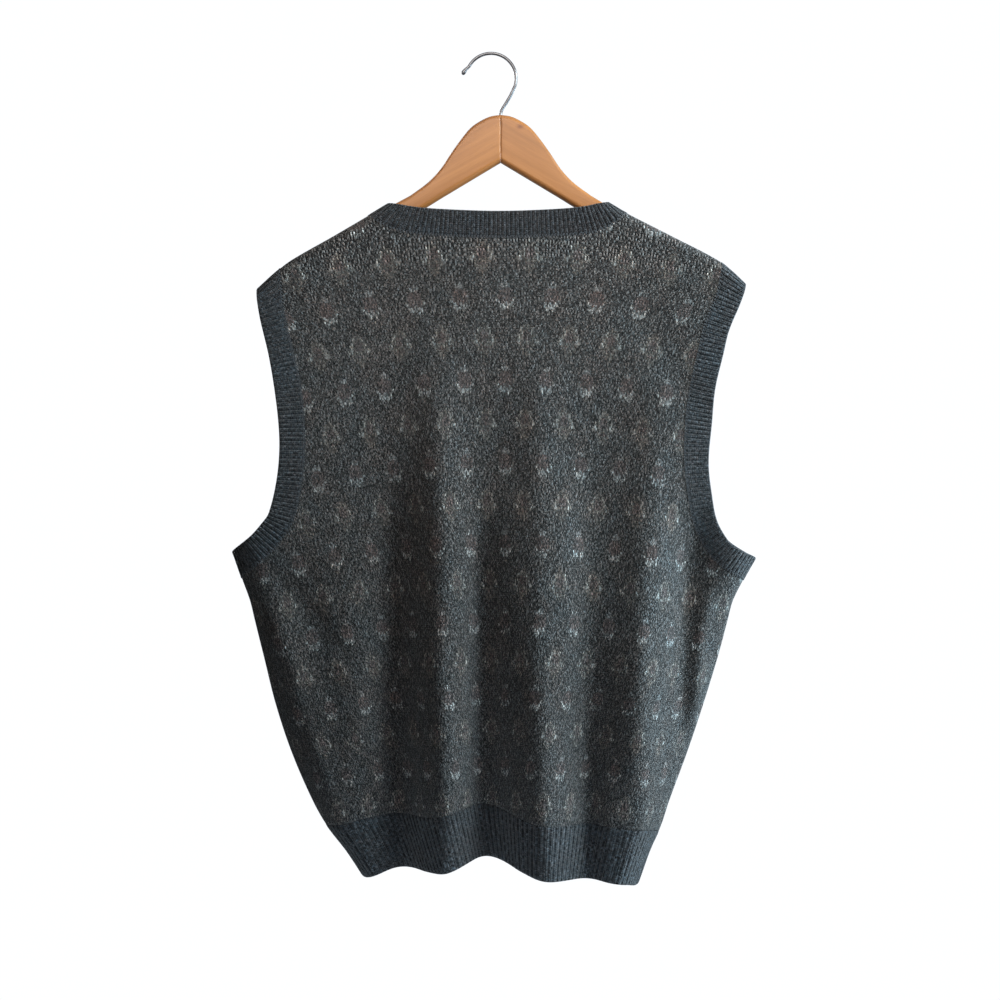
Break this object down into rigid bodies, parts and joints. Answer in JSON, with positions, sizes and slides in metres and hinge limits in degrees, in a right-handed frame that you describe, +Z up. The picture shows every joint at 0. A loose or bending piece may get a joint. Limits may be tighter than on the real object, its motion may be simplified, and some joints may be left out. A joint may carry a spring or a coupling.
{
  "type": "knitted sweater vest on a wooden clothes hanger",
  "caption": "Sleeveless ribbed-edge knitted pullover vest with a V neck, hanging open and softly folded on a wooden clothes hanger with a wire hook.",
  "frame": {"origin": "inner top of the hanger's hook, the point that rests on a rail or peg", "axes": "+Z up, +X to the right of someone facing the vest's back, +Y towards the vest's front"},
  "size_m": [0.5244, 0.1289, 0.8293],
  "materials": {
    "panel_knit": "soft heathered stocking stitch with a small woven-in motif",
    "rib_knit": "soft heathered one by one rib",
    "hanger_wood": "clear satin lacquer",
    "hook_steel": "bright plated wire"
  },
  "bodies": {
    "root": {"back_panel": "panel_knit", "front_panel": "panel_knit", "back_hem_rib": "rib_knit", "front_hem_rib": "rib_knit", "neckband": "rib_knit", "armhole_band_left": "rib_knit", "armhole_band_right": "rib_knit", "hanger_arm_left": "hanger_wood", "hanger_arm_right": "hanger_wood", "hook": "hook_steel"}
  },
  "joints": []
}
